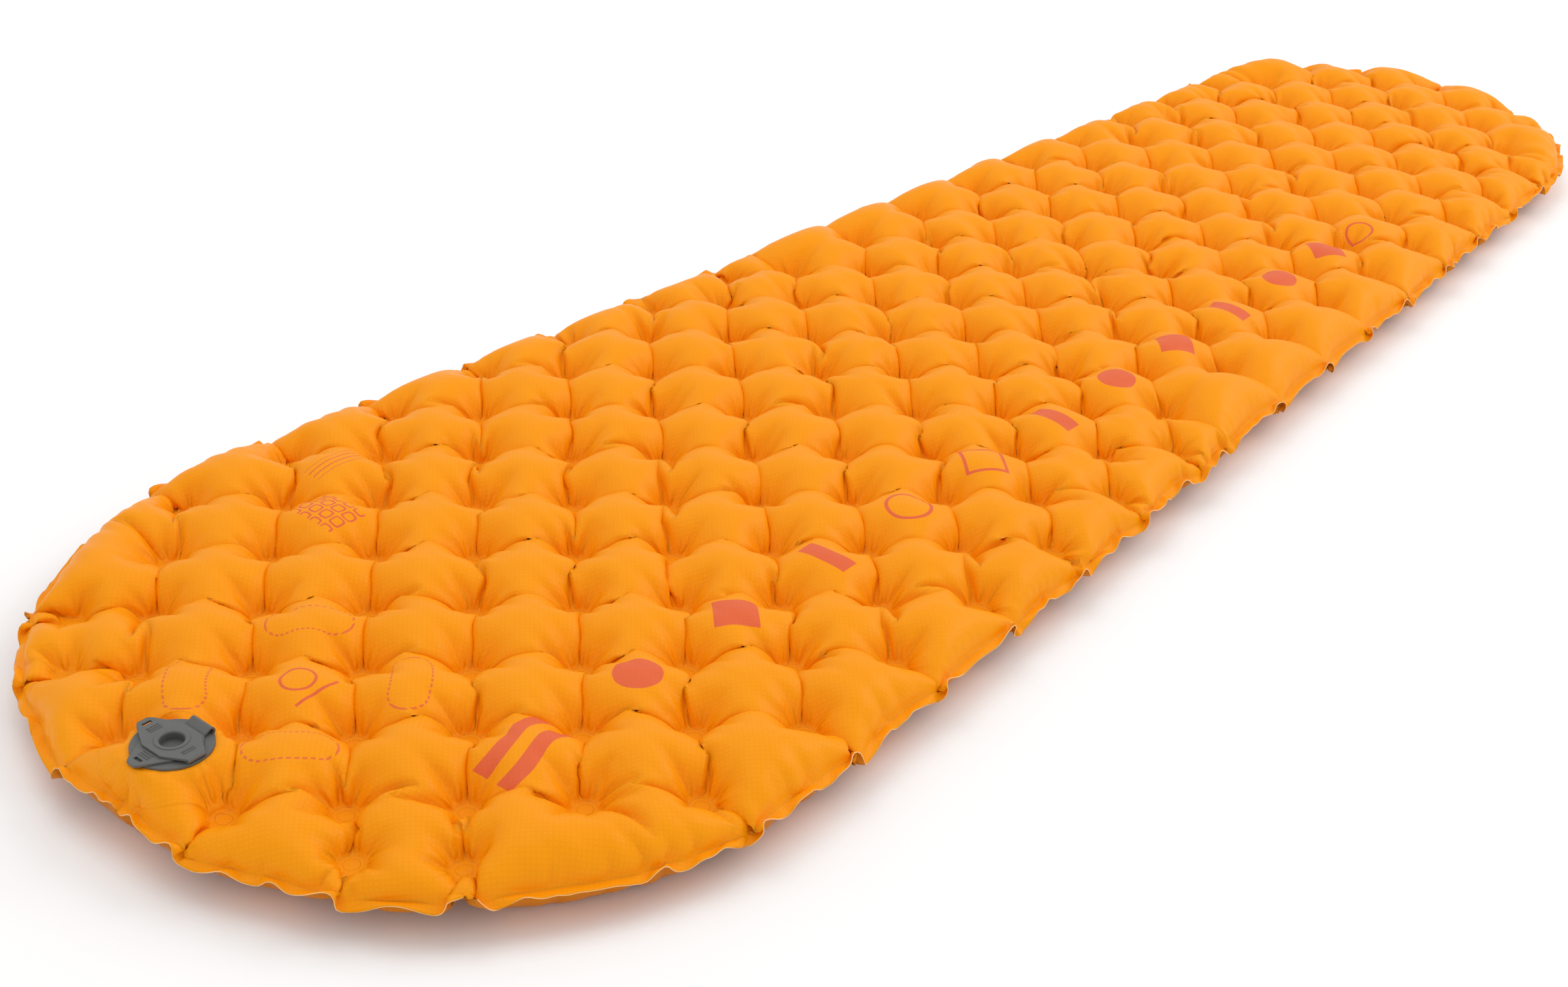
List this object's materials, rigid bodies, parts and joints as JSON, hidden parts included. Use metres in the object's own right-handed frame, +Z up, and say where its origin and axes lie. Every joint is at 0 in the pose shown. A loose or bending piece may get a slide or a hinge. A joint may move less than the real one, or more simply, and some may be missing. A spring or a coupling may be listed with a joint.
{
  "type": "inflatable sleeping pad",
  "caption": "Tapered insulated air mattress of round pillow cells held by weld dots, with a flat two-flap inflation and deflation valve at the head end.",
  "frame": {"origin": "centre of the area the pad rests on, halfway along and across it, at the underside of the bottom sheet", "axes": "+X along the pad from the head end, where the valve is, to the foot end; +Y across it; +Z up"},
  "size_m": [1.83, 0.5582, 0.0558],
  "materials": {
    "fabric": "satin ripstop",
    "underside_fabric": "matt ripstop",
    "batt": "matt fibre",
    "film": "metallised film",
    "valve_plastic": "satin",
    "membrane": "translucent satin"
  },
  "bodies": {
    "pad": {"top_sheet": "fabric", "bottom_sheet": "underside_fabric", "insulation_batt": "batt", "reflective_film": "film", "valve_weld_flange": "valve_plastic", "valve_base": "valve_plastic", "deflate_strap": "valve_plastic"},
    "deflate": {"deflate_flap": "valve_plastic", "one_way_seat": "valve_plastic", "inflate_strap": "valve_plastic"},
    "cap": {"inflate_cap": "valve_plastic"},
    "button": {"fine_tune_button": "valve_plastic", "one_way_membrane": "membrane"}
  },
  "joints": [
    {"name": "deflate_hinge", "type": "hinge", "parent": "pad", "child": "deflate", "pos_m": [-0.8467, 0, 0.05295], "axis": [0, 1, 0], "range_deg": [0, 150], "deforming": ["deflate_strap"]},
    {"name": "inflate_hinge", "type": "hinge", "parent": "deflate", "child": "cap", "pos_m": [-0.867, -0.0215, 0.05315], "axis": [1, 0, 0], "range_deg": [0, 175], "deforming": ["inflate_strap"]},
    {"name": "button_slide", "type": "slide", "parent": "deflate", "child": "button", "axis": [0, 0, 1], "range_m": [-0.0012, 0], "stiffness_N_per_m": 60, "springref_m": 0.0005}
  ]
}
